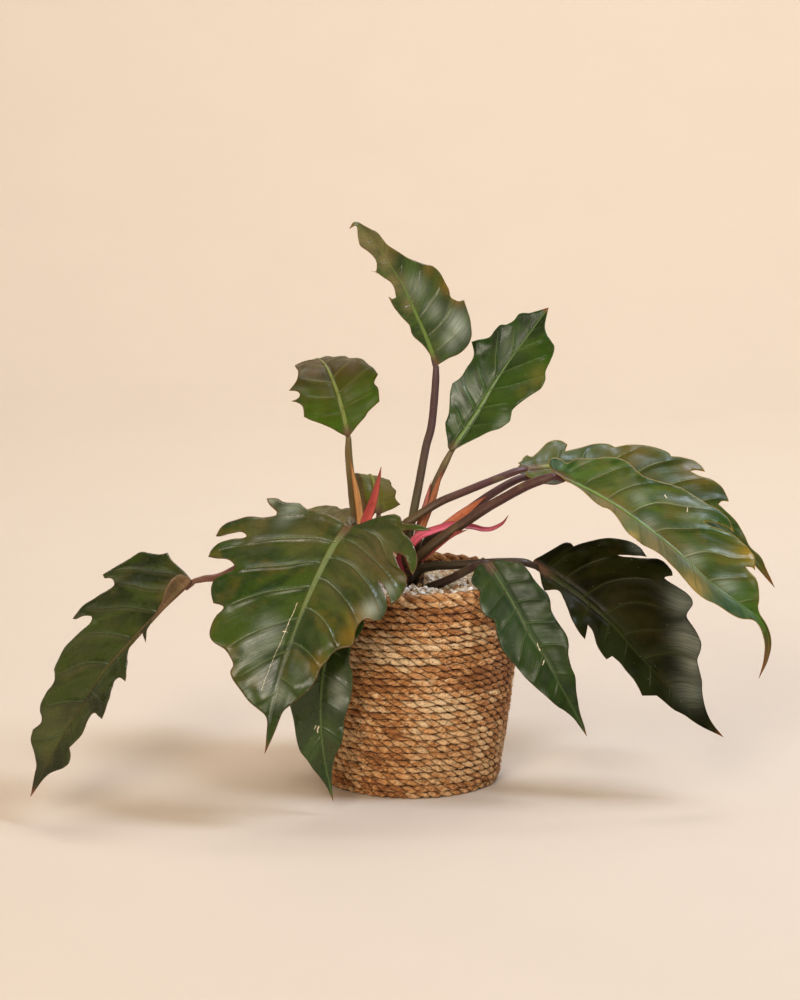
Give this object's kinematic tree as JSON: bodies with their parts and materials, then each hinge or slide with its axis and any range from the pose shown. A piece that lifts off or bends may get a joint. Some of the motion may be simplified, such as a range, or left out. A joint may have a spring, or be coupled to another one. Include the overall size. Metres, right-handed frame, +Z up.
{
  "type": "potted lobed-leaf philodendron in a coiled rope basket",
  "caption": "Potted aroid house plant with toothed, lobed leaves on long stalks, standing in a coiled rope basket with pale granules over the soil.",
  "frame": {"origin": "centre of the flat underside of the basket", "axes": "+Z up, out of the basket's mouth; -Y towards the front of the plant, where most leaves hang; +X to the right seen from the front"},
  "size_m": [0.6972, 0.3554, 0.5379],
  "materials": {
    "rope": "coarse natural fibre",
    "pot_plastic": "matte",
    "potting_mix": "rough",
    "granules": "rough",
    "crown_bark": "satin",
    "petiole_skin": "satin",
    "sheath_red": "satin",
    "leaf_blade": "glossy"
  },
  "bodies": {
    "root": {"basket": "rope", "nursery_pot": "pot_plastic", "soil": "potting_mix", "top_dressing": "granules", "crown_left": "crown_bark", "crown_right": "crown_bark", "petiole_far_left": "petiole_skin", "petiole_front_left": "petiole_skin", "petiole_front_small": "petiole_skin", "petiole_upright_left": "petiole_skin", "petiole_tall": "petiole_skin", "petiole_upright_right": "petiole_skin", "petiole_arch_front": "petiole_skin", "petiole_arch_back": "petiole_skin", "petiole_arch_rear": "petiole_skin", "petiole_low_right": "petiole_skin", "petiole_front_right": "petiole_skin", "petiole_back": "petiole_skin", "petiole_back_left": "petiole_skin", "scale_spike": "sheath_red", "scale_curled": "sheath_red", "scale_under_arch": "sheath_red", "scale_crown": "sheath_red", "sheath_upright_left": "sheath_red", "sheath_upright_right": "sheath_red", "sheath_upright_right_low": "sheath_red", "sheath_arch_rear": "sheath_red", "leaf_far_left": "leaf_blade", "leaf_front_left": "leaf_blade", "leaf_front_small": "leaf_blade", "leaf_upright_left": "leaf_blade", "leaf_tall": "leaf_blade", "leaf_upright_right": "leaf_blade", "leaf_arch_front": "leaf_blade", "leaf_arch_back": "leaf_blade", "leaf_arch_rear": "leaf_blade", "leaf_low_right": "leaf_blade", "leaf_front_right": "leaf_blade", "leaf_back": "leaf_blade", "leaf_back_left": "leaf_blade"}
  },
  "joints": []
}
